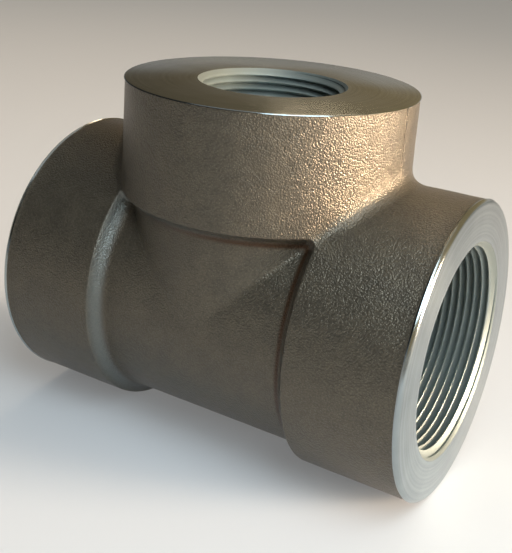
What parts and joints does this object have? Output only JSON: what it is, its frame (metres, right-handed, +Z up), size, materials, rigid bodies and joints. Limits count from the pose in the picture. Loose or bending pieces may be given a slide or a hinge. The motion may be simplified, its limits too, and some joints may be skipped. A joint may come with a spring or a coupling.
{
  "type": "reducing tee",
  "caption": "Forged steel reducing tee: a straight run with a thick band at each end and a smaller taper-threaded port in the branch.",
  "frame": {"origin": "the point where the axes of the run and of the branch cross", "axes": "X along the run, +Z up the branch towards the smaller port, Y across the tee"},
  "size_m": [0.128, 0.084, 0.106],
  "materials": {
    "forged_steel": "oiled dark forging skin, end faces and ports turned bright"
  },
  "bodies": {
    "root": {"tee_body": "forged_steel"}
  },
  "joints": []
}
